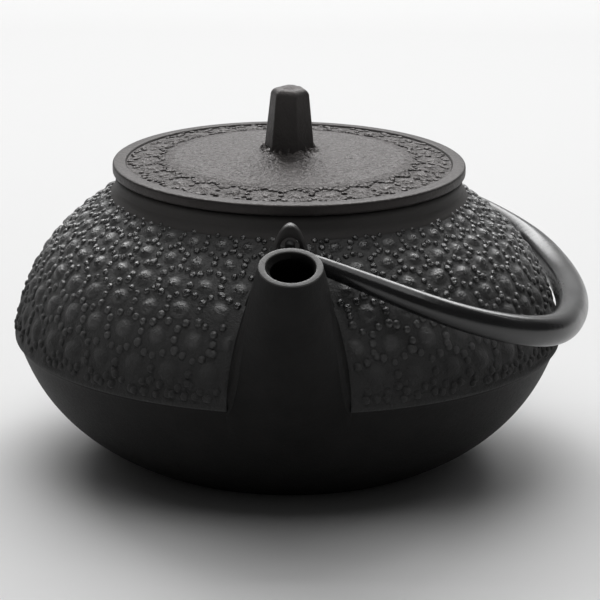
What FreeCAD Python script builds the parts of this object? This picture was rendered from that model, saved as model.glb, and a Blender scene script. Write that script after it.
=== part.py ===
import FreeCAD, Part
import math
import os

# A low cast-iron teapot: round body with spout and two handle lugs, domed lid with a
# six-sided knob, a swinging bail handle and a lift-out wire infuser.
# The body is one casting. It is held here as simple zones that meet face to face, so that
# each zone bends round only one part of the tea space.
# Millimetres. The origin is the centre of the foot on the table, +Z is up,
# the spout points along -Y and the handle lies folded down on the +X side.

Vector = FreeCAD.Vector
UP = Vector(0, 0, 1)

# Driving dimensions of the pot
waist_radius = 80.0
ridge_height = 35.5
ridge_step = 0.7
foot_radius = 45.0
wall = 3.6
floor_thickness = 4.2
neck_radius = 50.3
neck_base_height = 80.0
neck_top_height = 83.4
neck_chamfer = 1.2
mouth_radius = 46.2
mouth_overrun = 5.0
ledge_radius = 43.2
ledge_height = 75.6
ledge_thickness = 2.4

# Driving dimensions of the spout
lip_centre = Vector(0, -92.0, 80.6)
lip_radius = 8.75
lip_tilt = 21.0
spout_bore_radius = 6.2
spout_root_bore_radius = 9.0
spout_root_centre = Vector(0, -63.0, 39.5)

# Driving dimensions of the handle lugs and of the bail handle
lug_top_height = 84.6
lug_half_width = 6.6
lug_rise = 12.6
lug_depth = 3.6
lug_outer_face = 63.2
lug_inner_face = 59.0
lug_hole_radius = 2.7
lug_hole_overrun = 2.0
hook_play = 0.3
hinge_height = 77.2
hook_radius = 1.4
hook_bend_radius = 3.0
hook_tip = 56.4
hook_shank = 14.0
bail_droop = 19.6
bail_reach = 88.2
leg_splay = 6.2
leg_length = 34.0
corner_radius = 43.0
grip_radius = 4.75
tube_end_radius = 1.95
tube_taper = 0.8
bore_taper = 1.5
tube_wall = 0.9
tube_start = 2.0
tube_socket = 24.0
socket_clearance = 0.05
leg_steps = 5
corner_steps = 6
crown_steps = 4

# Driving dimensions of the lid and its knob
lid_radius = 51.3
lid_rim_height = 86.8
lid_rim_thickness = 3.0
lid_edge = 0.5
lid_lip_width = 4.1
lid_rise = 3.3
lid_thickness = 3.0
lid_seat_gap = 0.1
lid_land_inset = 2.0
lid_cove = 0.4
lid_ring_outer = 45.4
lid_ring_inner = 43.4
lid_ring_depth = 5.0
knob_pad_radius = 9.0
knob_foot_radius = 7.45
knob_top_radius = 5.45
knob_height = 19.5
knob_crown_height = 2.3
knob_crown_radius = 3.7
knob_edge_round = 1.0
knob_turn = 16.7
screw_radius = 2.0
screw_hole_clearance = 0.1
screw_grip = 9.0
screw_tip_gap = 0.5
screw_head_radius = 3.6
screw_head_height = 2.0
screw_head_round = 1.2
screw_slot = 1.0
washer_radius = 5.2
washer_thickness = 0.8

# Driving dimensions of the infuser
infuser_radius = 36.0
infuser_depth = 52.0
infuser_rim_radius = 45.6
infuser_sheet = 0.6
infuser_collar = 9.0
infuser_mesh = 0.5
infuser_wall_drop = 1.0
infuser_band_height = 5.0
infuser_band_lip = 3.0
infuser_gap = 0.05
infuser_seat_gap = 0.1


def at(radius, height):
    """A point of a half section in the XZ plane."""
    return Vector(radius, 0, height)


def straight(*points):
    """Straight edges through the points, one after the other."""
    return [Part.makeLine(a, b) for a, b in zip(points, points[1:])]


def curve(*poles):
    """One Bezier edge with these poles."""
    bezier = Part.BezierCurve()
    bezier.setPoles(list(poles))
    return [bezier.toShape()]


def turned(edges):
    """The solid that a closed half section sweeps round the Z axis."""
    face = Part.Face(Part.Wire(edges))
    return face.revolve(Vector(0, 0, 0), UP, 360)


def ring(inner, outer, bottom, top):
    """A plain ring with square edges."""
    tall = top - bottom
    outside = Part.makeCylinder(outer, tall, at(0, bottom))
    return outside.cut(Part.makeCylinder(inner, tall, at(0, bottom)))


def circle_wire(centre, normal, radius, start):
    """A round wire about a centre, whose first point lies in the start direction."""
    circle = Part.Circle(centre, normal, radius)
    circle.XAxis = start
    return Part.Wire(circle.toShape())


# Pot body: outside turned from the foot, the lower bowl, the ridge, the shoulder and the neck.
# The poles of the four curves are set out from the foot, the waist and the neck.
bowl_poles = (
    at(foot_radius, 0),
    at(foot_radius + 29.1, 12.2),
    at(waist_radius - 2.8, ridge_height - 2.9),
    at(waist_radius - ridge_step, ridge_height - 0.6),
)
shoulder_poles = (
    at(waist_radius, ridge_height),
    at(waist_radius - 5.0, ridge_height + 33.2),
    at(neck_radius + 3.2, neck_base_height - 7.1),
    at(neck_radius + 0.2, neck_base_height),
)


def pot_outside():
    edges = straight(at(0, neck_top_height), at(0, 0), bowl_poles[0])
    edges += curve(*bowl_poles)
    edges += straight(bowl_poles[-1], shoulder_poles[0])
    edges += curve(*shoulder_poles)
    edges += straight(
        shoulder_poles[-1],
        at(neck_radius, neck_top_height - neck_chamfer),
        at(neck_radius - neck_chamfer, neck_top_height),
        at(0, neck_top_height),
    )
    return turned(edges)


def pot_inside():
    """The tea space: the bowl and shoulder one wall inside, and the stepped mouth above."""
    inner_waist = at(waist_radius - wall, ridge_height)
    flat = foot_radius - floor_thickness
    ledge_bottom = ledge_height - ledge_thickness
    above = neck_top_height + mouth_overrun
    edges = straight(at(0, above), at(0, floor_thickness), at(flat, floor_thickness))
    edges += curve(
        at(flat, floor_thickness),
        at(flat + 28.0, 15.5),
        at(inner_waist.x - 1.5, ridge_height - 6.0),
        inner_waist,
    )
    shoulder_end = at(neck_radius - 1.0, ledge_bottom - 0.8)
    edges += curve(
        inner_waist,
        at(inner_waist.x - 4.5, ridge_height + 31.0),
        at(neck_radius + 2.5, ledge_bottom - 3.4),
        shoulder_end,
    )
    edges += straight(
        shoulder_end,
        at(ledge_radius, ledge_bottom),
        at(ledge_radius, ledge_height),
        at(mouth_radius, ledge_height),
        at(mouth_radius, above),
        at(0, above),
    )
    return turned(edges)


def spout_section(front, slope, half_depth, half_width):
    """An oval section that starts at its front point and runs back at a slope in the YZ plane."""
    tilt = math.radians(slope)
    back = Vector(0, math.cos(tilt), math.sin(tilt)) * half_depth
    centre = front + back
    side = Vector(half_width, 0, 0)
    return Part.Wire(Part.Ellipse(centre + side, centre + back, centre).toShape())


def spout_outside():
    """A spout lofted from its round lip to a wide flat root that runs out into the lower bowl."""
    lean = math.radians(lip_tilt)
    lip_front = lip_centre - Vector(0, math.cos(lean), math.sin(lean)) * lip_radius
    root_depth = 12.0
    sections = (
        (0.0, 0.0, lip_tilt, lip_radius, lip_radius + 0.01),
        (4.7, -11.5, 24.0, 10.8, 10.9),
        (9.9, -23.0, 26.0, 12.8, 13.1),
        (15.3, -34.0, 27.0, 13.6, 15.6),
        (19.9, -43.0, 28.0, root_depth, 19.0),
        (25.5, -52.0, 30.0, root_depth, 24.0),
        (32.0, -60.0, 32.0, root_depth, 29.0),
    )
    wires = []
    for inward, rise, slope, half_depth, half_width in sections:
        wires.append(spout_section(lip_front + Vector(0, inward, rise), slope, half_depth, half_width))
    return Part.makeLoft(wires, True, False)


def spout_bore():
    """A round bore from outside the lip to the tea space, widening inwards."""
    inward = spout_root_centre - lip_centre
    along = Vector(inward).normalize()
    spare = lip_radius
    widening = (spout_root_bore_radius - spout_bore_radius) / inward.Length
    return Part.makeCone(
        spout_bore_radius - widening * spare,
        spout_root_bore_radius,
        inward.Length + spare,
        lip_centre - along * spare,
        along,
    )


def lug(side):
    """A parabolic ear that stands on the shoulder, before its foot and its hole are cut."""
    bottom = lug_top_height - lug_rise - lug_depth
    spread = lug_half_width * math.sqrt((lug_rise + lug_depth) / lug_rise)
    face_y = lug_inner_face
    left = Vector(-spread, face_y, bottom)
    right = Vector(spread, face_y, bottom)
    crest = Vector(0, face_y, 2 * lug_top_height - bottom)
    outline = Part.Wire(curve(left, crest, right) + straight(right, left))
    ear = Part.Face(outline).extrude(Vector(0, lug_outer_face - lug_inner_face, 0))
    return ear if side > 0 else ear.mirror(Vector(0, 0, 0), Vector(0, 1, 0))


def lug_hole(side):
    """The hole lies a little above the hinge line: the hook hangs at its bottom."""
    centre_height = hinge_height - hook_radius + lug_hole_radius - hook_play
    start = Vector(0, side * (lug_inner_face - lug_hole_overrun), centre_height)
    depth = lug_outer_face - lug_inner_face + 2 * lug_hole_overrun
    return Part.makeCylinder(lug_hole_radius, depth, start, Vector(0, side, 0))


def pot_zone(bottom, top):
    """The part of the pot's wall between two heights, open where the spout's bore comes through."""
    slab = Part.makeCylinder(waist_radius + wall, top - bottom, at(0, bottom))
    zone = pot_outside().cut(pot_inside()).common(slab)
    return zone.cut(spout_bore()).removeSplitter()


def spout():
    """The spout outside the pot's wall, with its bore."""
    return spout_outside().cut([pot_outside(), spout_bore()]).removeSplitter()


def handle_lug(side):
    """One ear above the shoulder, with the hook's hole through it."""
    return lug(side).cut([pot_outside(), lug_hole(side)]).removeSplitter()


# Lid: a domed plate with a plain lip, a seat land and a locating ring underneath
lid_seat_height = neck_top_height + lid_seat_gap
lid_pad_height = lid_rim_height + lid_rise


def lid_plate():
    lip_inner = lid_radius - lid_lip_width
    rim_bottom = lid_rim_height - lid_rim_thickness
    land_outer = neck_radius - lid_land_inset
    under_pad = lid_pad_height - lid_thickness
    under_flat = washer_radius + washer_thickness
    edges = straight(at(0, under_pad), at(0, lid_pad_height), at(knob_pad_radius, lid_pad_height))
    edges += curve(
        at(knob_pad_radius, lid_pad_height),
        at(knob_pad_radius + 14.0, lid_pad_height - 0.1),
        at(lip_inner - 12.0, lid_rim_height + 1.1),
        at(lip_inner, lid_rim_height),
    )
    edges += straight(
        at(lip_inner, lid_rim_height),
        at(lid_radius - lid_edge, lid_rim_height),
        at(lid_radius, lid_rim_height - lid_edge),
        at(lid_radius, rim_bottom + lid_edge),
        at(lid_radius - lid_edge, rim_bottom),
        at(land_outer, rim_bottom),
        at(land_outer, lid_seat_height),
        at(lid_ring_outer, lid_seat_height),
        at(lid_ring_outer, lid_seat_height - lid_ring_depth),
        at(lid_ring_inner, lid_seat_height - lid_ring_depth),
        at(lid_ring_inner, lid_seat_height + lid_cove),
    )
    edges += curve(
        at(lid_ring_inner, lid_seat_height + lid_cove),
        at(lid_ring_inner - 14.0, under_pad - 1.2),
        at(under_flat + 15.0, under_pad),
        at(under_flat, under_pad),
    )
    edges += straight(at(under_flat, under_pad), at(0, under_pad))
    hole = Part.makeCylinder(
        screw_radius + screw_hole_clearance, 2 * lid_thickness, at(0, under_pad - lid_thickness / 2)
    )
    return turned(edges).cut(hole)


def hexagon(radius, height):
    """A closed six-sided wire with one corner turned to the front."""
    start = math.radians(knob_turn - 90)
    corners = []
    for index in range(7):
        angle = start + index * math.pi / 3
        corners.append(Vector(radius * math.cos(angle), radius * math.sin(angle), height))
    return Part.makePolygon(corners)


def lid_knob():
    """A six-sided tapered post with a sloped crown, softened edges and a blind hole for its screw."""
    top_height = lid_pad_height + knob_height
    sections = [
        hexagon(knob_foot_radius, lid_pad_height),
        hexagon(knob_top_radius, top_height - knob_crown_height),
        hexagon(knob_crown_radius, top_height),
    ]
    post = Part.makeLoft(sections, True, True)
    rounded = [edge for edge in post.Edges if edge.BoundBox.ZMax > lid_pad_height + knob_edge_round]
    post = post.makeFillet(knob_edge_round, rounded)
    return post.cut(
        Part.makeCylinder(screw_radius + socket_clearance, screw_grip, at(0, lid_pad_height))
    )


def washer_bottom():
    return lid_pad_height - lid_thickness - washer_thickness


def knob_washer():
    bottom = washer_bottom()
    return ring(screw_radius + screw_hole_clearance, washer_radius, bottom, bottom + washer_thickness)


def knob_screw():
    """A round-headed screw from below, through washer and lid, into the knob."""
    bottom = washer_bottom()
    tip = lid_pad_height + screw_grip - screw_tip_gap
    head_bottom = bottom - screw_head_height
    shank = Part.makeCylinder(screw_radius, tip - bottom, at(0, bottom))
    head = Part.makeCylinder(screw_head_radius, screw_head_height, at(0, head_bottom))
    rim = [edge for edge in head.Edges if edge.BoundBox.ZMax < head_bottom + screw_head_height / 2]
    head = head.makeFillet(screw_head_round, rim)
    corner = Vector(-screw_head_radius, -screw_slot / 2, head_bottom)
    slot = Part.makeBox(2 * screw_head_radius, screw_slot, screw_slot, corner)
    return head.fuse(shank).cut(slot).removeSplitter()


# Bail handle: a leg, a corner arc and a crown arc on each side, all in one drooping plane
droop = math.radians(bail_droop)
bail_out = Vector(math.cos(droop), 0, -math.sin(droop))
bail_normal = Vector(math.sin(droop), 0, math.cos(droop))
hinge = at(0, hinge_height)


def bail_place(along, out):
    """A point of the bail's plane: along the hinge line, and out from it."""
    return hinge + Vector(0, along, 0) + bail_out * out


def bail_half():
    """Stations of one half of the tube, from the leg to the crown: along, out and heading."""
    splay = math.radians(leg_splay)
    leg = (math.sin(splay), math.cos(splay))
    bend_end = (
        lug_outer_face + hook_bend_radius * math.cos(splay),
        hook_bend_radius * (1 - math.sin(splay)),
    )
    leg_end = (bend_end[0] + leg_length * leg[0], bend_end[1] + leg_length * leg[1])
    corner = (leg_end[0] - corner_radius * leg[1], leg_end[1] + corner_radius * leg[0])
    # The crown circle touches the corner circle from outside and reaches bail_reach on the middle line
    drop = bail_reach - corner[1]
    crown_radius = (corner[0] ** 2 + drop ** 2 - corner_radius ** 2) / (2 * (drop - corner_radius))
    crown_centre = bail_reach - crown_radius
    turn_end = math.atan2(corner[1] - crown_centre, corner[0])
    stations = []
    for step in range(leg_steps):
        reach = tube_start + (leg_length - tube_start) * step / leg_steps
        stations.append((bend_end[0] + reach * leg[0], bend_end[1] + reach * leg[1], splay))
    for step in range(corner_steps):
        angle = -splay + (turn_end + splay) * step / corner_steps
        stations.append(
            (
                corner[0] + corner_radius * math.cos(angle),
                corner[1] + corner_radius * math.sin(angle),
                -angle,
            )
        )
    for step in range(crown_steps + 1):
        angle = turn_end + (math.pi / 2 - turn_end) * step / crown_steps
        stations.append(
            (
                crown_radius * math.cos(angle),
                crown_centre + crown_radius * math.sin(angle),
                -angle,
            )
        )
    return stations


def tube_sections(radius_at):
    """Round sections square to the tube, from the rear leg over the crown to the front leg."""
    half = bail_half()
    wires = []
    for along, out, heading in half:
        direction = Vector(0, math.sin(heading), 0) + bail_out * math.cos(heading)
        wires.append(circle_wire(bail_place(along, out), direction, radius_at(out), bail_normal))
    for along, out, heading in reversed(half[:-1]):
        direction = Vector(0, math.sin(heading), 0) - bail_out * math.cos(heading)
        wires.append(circle_wire(bail_place(-along, out), direction, radius_at(out), bail_normal))
    return wires


def outer_radius_at(out):
    return tube_end_radius + (grip_radius - tube_end_radius) * (out / bail_reach) ** tube_taper


def bore_radius_at(out):
    socket = hook_radius + socket_clearance
    beyond = max(0.0, (out - tube_socket) / (bail_reach - tube_socket))
    return socket + (grip_radius - tube_wall - socket) * beyond ** bore_taper


def handle_tube():
    """A hollow tapered tube, closed between its outer and inner skins by two end rings."""
    outer = tube_sections(outer_radius_at)
    inner = tube_sections(bore_radius_at)
    faces = Part.makeLoft(outer, False, False).Faces + Part.makeLoft(inner, False, False).Faces
    for end in (0, -1):
        faces.append(Part.makeFace([outer[end], inner[end]], "Part::FaceMakerBullseye"))
    shell = Part.makeShell(faces)
    shell.sewShape()
    tube = Part.makeSolid(shell)
    tube.fix(0.01, 0.01, 0.01)
    return tube


def handle_hook(side):
    """A solid wire end: pin through the lug, a tight bend and a shank inside the tube."""
    splay = math.radians(leg_splay)
    half_turn = (splay - math.pi / 2) / 2
    start = bail_place(side * hook_tip, 0)
    bend_start = bail_place(side * lug_outer_face, 0)
    bend_middle = bail_place(
        side * (lug_outer_face + hook_bend_radius * math.cos(half_turn - splay)),
        hook_bend_radius * (1 + math.sin(half_turn - splay)),
    )
    bend_end = bail_place(
        side * (lug_outer_face + hook_bend_radius * math.cos(splay)),
        hook_bend_radius * (1 - math.sin(splay)),
    )
    shank_way = Vector(0, side * math.sin(splay), 0) + bail_out * math.cos(splay)
    path = Part.Wire(
        [
            Part.makeLine(start, bend_start),
            Part.Arc(bend_start, bend_middle, bend_end).toShape(),
            Part.makeLine(bend_end, bend_end + shank_way * (hook_shank - hook_bend_radius)),
        ]
    )
    profile = circle_wire(start, Vector(0, side, 0), hook_radius, bail_normal)
    wire = path.makePipeShell([profile], True, False)
    return wire.fuse(Part.makeSphere(hook_radius, start)).removeSplitter()


# Infuser: a pressed rim, a mesh wall and floor, and the band that holds them together
infuser_top = ledge_height + infuser_seat_gap
infuser_bottom = infuser_top - infuser_depth


def infuser_rim():
    """A flange that hangs on the ledge, with a rolled edge and a collar round the mesh."""
    top = infuser_top + infuser_sheet
    collar_outer = infuser_radius + infuser_sheet
    flange = ring(infuser_radius, infuser_rim_radius, infuser_top, top)
    collar = ring(infuser_radius, collar_outer, infuser_top - infuser_collar, top)
    roll = Part.makeTorus(infuser_rim_radius - infuser_sheet, infuser_sheet, at(0, top))
    return flange.fuse([collar, roll]).removeSplitter()


def infuser_wall():
    outer = infuser_radius - infuser_gap
    top = infuser_top - infuser_wall_drop
    return ring(outer - infuser_mesh, outer, infuser_bottom + infuser_sheet, top)


def infuser_floor():
    radius = infuser_radius - infuser_mesh - 2 * infuser_gap
    return Part.makeCylinder(radius, infuser_mesh, at(0, infuser_bottom + infuser_sheet + infuser_gap))


def infuser_band():
    """A shallow ring with an inward lip, crimped over the bottom edge of the mesh."""
    outer = infuser_radius + infuser_sheet
    side = ring(infuser_radius, outer, infuser_bottom, infuser_bottom + infuser_band_height)
    lip_inner = infuser_radius - infuser_band_lip
    lip = ring(lip_inner, outer, infuser_bottom, infuser_bottom + infuser_sheet - infuser_gap)
    return side.fuse(lip).removeSplitter()


pieces = {
    "pot_base": pot_zone(0, floor_thickness),
    "pot_bowl": pot_zone(floor_thickness, ridge_height),
    "pot_shoulder": pot_zone(ridge_height, ledge_height - ledge_thickness),
    "pot_neck": pot_zone(ledge_height - ledge_thickness, neck_top_height),
    "spout": spout(),
    "lug_front": handle_lug(-1),
    "lug_rear": handle_lug(1),
    "lid_plate": lid_plate(),
    "lid_knob": lid_knob(),
    "knob_screw": knob_screw(),
    "knob_washer": knob_washer(),
    "handle_tube": handle_tube(),
    "handle_hook_front": handle_hook(-1),
    "handle_hook_rear": handle_hook(1),
    "infuser_rim": infuser_rim(),
    "infuser_wall": infuser_wall(),
    "infuser_floor": infuser_floor(),
    "infuser_band": infuser_band(),
}

os.makedirs("parts", exist_ok=True)
for name, shape in pieces.items():
    box = shape.optimalBoundingBox()
    print(
        f"{name}: solids {len(shape.Solids)}, valid {shape.isValid()}, volume {shape.Volume:.0f}, "
        f"x {box.XMin:.1f} {box.XMax:.1f}, y {box.YMin:.1f} {box.YMax:.1f}, z {box.ZMin:.1f} {box.ZMax:.1f}"
    )
    shape.exportStep(os.path.join("parts", f"{name}.step"))
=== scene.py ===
import math

import bpy
import numpy as np
from mathutils import Matrix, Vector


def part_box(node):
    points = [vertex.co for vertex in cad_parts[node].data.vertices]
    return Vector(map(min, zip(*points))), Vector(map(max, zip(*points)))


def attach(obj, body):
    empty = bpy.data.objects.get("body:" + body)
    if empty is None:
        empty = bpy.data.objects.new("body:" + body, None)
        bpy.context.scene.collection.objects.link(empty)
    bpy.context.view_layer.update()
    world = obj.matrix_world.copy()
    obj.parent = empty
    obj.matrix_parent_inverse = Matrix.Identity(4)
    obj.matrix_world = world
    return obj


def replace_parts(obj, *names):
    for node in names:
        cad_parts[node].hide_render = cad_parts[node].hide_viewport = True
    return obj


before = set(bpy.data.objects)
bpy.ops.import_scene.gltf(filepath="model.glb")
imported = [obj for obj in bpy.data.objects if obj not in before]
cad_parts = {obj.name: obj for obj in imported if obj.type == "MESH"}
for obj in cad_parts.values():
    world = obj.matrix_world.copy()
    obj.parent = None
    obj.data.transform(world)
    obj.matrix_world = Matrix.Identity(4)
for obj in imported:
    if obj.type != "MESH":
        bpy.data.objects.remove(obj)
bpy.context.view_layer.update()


# Pot casting. One grey-iron casting: flat base, smooth lower bowl, shoulder, neck with a stepped
# mouth, and the spout, cast hollow and ground flat at its lip. The shoulder is sunk a little
# where the studded panel lies on it.
mm = 0.001
waist_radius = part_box("pot_shoulder")[1].x
ridge_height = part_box("pot_shoulder")[0].z
neck_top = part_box("pot_neck")[1].z
floor_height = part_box("pot_base")[1].z
foot_radius = 45.0 * mm
neck_radius = 50.3 * mm
neck_base = 80.0 * mm
mouth_radius = 46.2 * mm
ledge_radius = 43.2 * mm
ledge_height = 75.6 * mm
ledge_bottom = 73.2 * mm
wall = 3.6 * mm
panel_seat = 0.7 * mm
panel_top_height = 78.4 * mm

bowl_poles = [
    (foot_radius, 0),
    (foot_radius + 29.1 * mm, 12.2 * mm),
    (waist_radius - 2.8 * mm, ridge_height - 2.9 * mm),
    (waist_radius - panel_seat, ridge_height - 0.6 * mm),
]
shoulder_poles = [
    (waist_radius, ridge_height),
    (waist_radius - 5.0 * mm, ridge_height + 33.2 * mm),
    (neck_radius + 3.2 * mm, neck_base - 7.1 * mm),
    (neck_radius + 0.2 * mm, neck_base),
]


def bezier(poles, count):
    """Points of a cubic curve: the four poles weighted by the Bernstein polynomials of t."""
    t = np.linspace(0, 1, count)[:, None]
    a, b, c, d = np.array(poles)
    return (1 - t) ** 3 * a + 3 * t * (1 - t) ** 2 * b + 3 * t**2 * (1 - t) * c + t**3 * d


def smooth_step(value, start, reach):
    """0 below the start, 1 beyond the reach, and 3x² - 2x³ at a share x of the reach between."""
    x = np.clip((value - start) / reach, 0, 1)
    return x * x * (3 - 2 * x)


def rounded_line(points, radii, steps=4):
    """A line through the points whose corners are quadratic curves that start one radius away."""
    points = np.array(points)
    t = np.linspace(0, 1, steps + 1)[:, None]
    line = [points[:1]]
    for before, corner, after, radius in zip(points, points[1:], points[2:], radii):
        start = corner + radius * (before - corner) / np.linalg.norm(before - corner)
        end = corner + radius * (after - corner) / np.linalg.norm(after - corner)
        line.append((1 - t) ** 2 * start + 2 * t * (1 - t) * corner + t**2 * end)
    line.append(points[-1:])
    return np.concatenate(line)


def unit(vectors):
    """Each vector divided by its length."""
    return vectors / np.linalg.norm(vectors, axis=1)[:, None]


def profile_normals(profile):
    """Unit normals of a half section, to the right of its direction of travel."""
    slope = unit(np.gradient(profile, axis=0))
    return np.stack([slope[:, 1], -slope[:, 0]], axis=1)


def around(radius, angle, height):
    """A point at an angle from the spout's direction, counted towards the handle's side."""
    return np.stack(np.broadcast_arrays(radius * np.sin(angle), -radius * np.cos(angle), height), axis=-1)


def off_line(line, out, angle, level):
    """Points round the axis, a level off a half section along its normals."""
    return around(line[:, :1] + out[:, :1] * level, angle, line[:, 1:] + out[:, 1:] * level)


def grid_quads(rows, columns, wrap_columns=True, wrap_rows=False):
    """Quads between neighbouring rows and columns of a grid, as vertex numbers."""
    here = np.arange(rows * columns).reshape(rows, columns)
    ahead = np.roll(here, -1, axis=1)
    quads = np.stack([here, ahead, np.roll(ahead, -1, axis=0), np.roll(here, -1, axis=0)], axis=-1)
    last_row = rows if wrap_rows else rows - 1
    last_column = columns if wrap_columns else columns - 1
    return quads[:last_row, :last_column].reshape(-1, 4)


def fan(ring, tip):
    """Triangles from each side of a ring to one tip."""
    return np.stack([ring, np.roll(ring, -1), np.full_like(ring, tip)], axis=1)


def add_object(name, data):
    """A new object in the scene."""
    thing = bpy.data.objects.new(name, data)
    bpy.context.scene.collection.objects.link(thing)
    return thing


def closed_piece(name, points, groups, sharp_angle=50):
    """A mesh from points and groups of faces, turned outwards if its signed volume is negative."""
    points = np.asarray(points, float).reshape(-1, 3)
    volume = 0.0
    for faces in groups:
        for corner in range(1, faces.shape[1] - 1):
            a, b, c = points[faces[:, 0]], points[faces[:, corner]], points[faces[:, corner + 1]]
            volume += np.einsum("ij,ij->", a, np.cross(b, c))
    turn = 1 if volume > 0 else -1
    faces = [face for group in groups for face in group[:, ::turn].tolist()]
    mesh = bpy.data.meshes.new(name)
    mesh.from_pydata(points.tolist(), [], faces)
    mesh.shade_smooth()
    mesh.set_sharp_from_angle(angle=math.radians(sharp_angle))
    return add_object(name, mesh)


# The outside, from the middle of the base to the neck
base_steps = 6
bowl_steps = 44
shoulder_steps = 96
pole_radius = 1.5 * mm
base_radii = np.linspace(pole_radius, foot_radius, base_steps, endpoint=False)
base_rows = np.stack([base_radii, np.zeros(base_steps)], axis=1)
bowl_rows = bezier(bowl_poles, bowl_steps)
shoulder_line = bezier(shoulder_poles, shoulder_steps)
inside_top = (neck_radius - 1.0 * mm, ledge_bottom - 0.8 * mm)
neck_rows = rounded_line(
    [
        shoulder_line[-1],
        (neck_radius, neck_top),
        (mouth_radius, neck_top),
        (mouth_radius, ledge_height),
        (ledge_radius, ledge_height),
        (ledge_radius, ledge_bottom),
        inside_top,
    ],
    [1.5 * mm, 0.7 * mm, 0.4 * mm, 0.5 * mm, 0.5 * mm],
)[1:]
outside_rows = np.concatenate([base_rows, bowl_rows, shoulder_line])

# The spout's root: an egg on the wall, widest near the ridge
root_middle = 40.0 * mm
root_below = 27.0 * mm
root_above = 36.0 * mm
root_half_width = 17.2 * mm
root_egg = 2.6 * mm


def root_turn(height):
    """The angle round the root whose cosine is the height below its middle, over its reach."""
    reach = np.where(height < root_middle, root_below, root_above)
    return np.arccos(np.clip((root_middle - height) / reach, -1, 1))


def root_width(height):
    """Half the root's width at a height: an ellipse made wider towards its lower end."""
    turn = root_turn(height)
    return (root_half_width + root_egg * np.cos(turn)) * np.sin(turn)


root_cut_below = 0.92
root_cut_above = 0.85
heights = outside_rows[:, 1]
first_row = int(np.argmax(heights >= root_middle - root_cut_below * root_below))
last_row = int(np.argmax(heights > root_middle + root_cut_above * root_above)) - 1
root_rows = last_row - first_row
row_pick = np.clip(np.arange(len(outside_rows)), first_row, last_row)
outside_half_angle = root_width(heights[row_pick]) / outside_rows[row_pick, 0]

# The inside, from the neck down to the middle of the floor, with the mouth of the spout's bore
inside_flat = foot_radius - floor_height
inside_waist = waist_radius - wall
inside_steps = 200
rows_above_bore = 14
rows_below_bore = 40
floor_steps = 8
inside_low = [
    (inside_flat, floor_height),
    (inside_flat + 28.0 * mm, 15.5 * mm),
    (inside_waist - 1.5 * mm, ridge_height - 6.0 * mm),
    (inside_waist, ridge_height),
]
inside_high = [
    (inside_waist, ridge_height),
    (inside_waist - 4.5 * mm, ridge_height + 31.0 * mm),
    (neck_radius + 2.5 * mm, ledge_bottom - 3.4 * mm),
    inside_top,
]
inside_line = np.concatenate([bezier(inside_low, inside_steps), bezier(inside_high, inside_steps)[1:]])
bore_mouth_height = 51.8 * mm
bore_mouth_rise = 7.8 * mm
bore_mouth_half_width = 8.1 * mm
side_turn = root_turn(heights[first_row:last_row + 1])
bore_rows_height = bore_mouth_height - bore_mouth_rise * np.cos(side_turn)
above_bore = np.linspace(inside_line[-1, 1], bore_rows_height[-1], rows_above_bore)[1:-1]
below_bore = np.linspace(bore_rows_height[0], floor_height, rows_below_bore)[1:]
inside_heights = np.concatenate([above_bore, bore_rows_height[::-1], below_bore])
inside_radii = np.interp(inside_heights, inside_line[:, 1], inside_line[:, 0])
inside_rows = np.stack([inside_radii, inside_heights], axis=1)
floor_radii = np.linspace(inside_flat, pole_radius, floor_steps)[1:]
floor_rows = np.stack([floor_radii, np.full_like(floor_radii, floor_height)], axis=1)
profile = np.concatenate([outside_rows, neck_rows, inside_rows, floor_rows])

inside_first = len(outside_rows) + len(neck_rows)
bore_top_row = inside_first + len(above_bore)
bore_bottom_row = bore_top_row + root_rows
bore_radii = profile[bore_top_row:bore_bottom_row + 1, 0]
bore_half_angle = bore_mouth_half_width * np.sin(side_turn[::-1]) / bore_radii
row_numbers = np.arange(len(profile))
known_rows = np.concatenate(
    [row_numbers[:len(outside_rows)], row_numbers[bore_top_row:bore_bottom_row + 1]]
)
known_angles = np.concatenate([outside_half_angle, bore_half_angle])
half_angle = np.interp(row_numbers, known_rows, known_angles)



def round_back(edge, way):
    """Angles from one edge of the spout round the back to the other, by a share of the way."""
    return edge + (2 * math.pi - 2 * edge) * way


def to_edge(edge, angle):
    """How far an angle is from the nearer edge of the spout."""
    return np.minimum(angle - edge, 2 * math.pi - edge - angle)


# Columns run from the spout's right edge round the back to its left edge, then across the spout
around_columns = 264
gap_columns = 14
columns = around_columns + gap_columns
way = np.arange(around_columns + 1) / around_columns
gap_way = np.arange(1, gap_columns) / gap_columns
edge = half_angle[:, None]
angles = np.concatenate([round_back(edge, way), 2 * math.pi - edge + 2 * edge * gap_way], axis=1)
# The shoulder is sunk under the panel, and comes up to meet its top and its edges beside the spout
sunk_reach = 1.4 * mm
sunk_below_top = 1.96 * mm
ridge_band_start = 0.5 * mm
ridge_band = 4.0 * mm
profile_out = profile_normals(profile)
under_panel = np.zeros(len(profile))
shoulder_start = len(base_rows) + len(bowl_rows)
under_panel[shoulder_start:len(outside_rows)] = 1 - smooth_step(
    shoulder_line[:, 1], panel_top_height - sunk_below_top, sunk_reach
)
from_root = profile[:, :1] * to_edge(edge, angles)
near_ridge = 1 - smooth_step(profile[:, 1:], ridge_height + ridge_band_start, ridge_band)
sunk = panel_seat * under_panel[:, None] * np.maximum(smooth_step(from_root, 0, sunk_reach), near_ridge)
casting_points = off_line(profile, profile_out, angles, -sunk)


def window_loop(bottom_row, top_row):
    """Vertex numbers round a gap in the columns: up the right, back over the top, down the left."""
    step = 1 if top_row > bottom_row else -1
    side = np.arange(bottom_row, top_row + step, step)
    across = np.arange(columns - 1, around_columns, -1)
    return np.concatenate(
        [
            side * columns,
            top_row * columns + across,
            side[::-1] * columns + around_columns,
            bottom_row * columns + across[::-1],
        ]
    )


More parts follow.
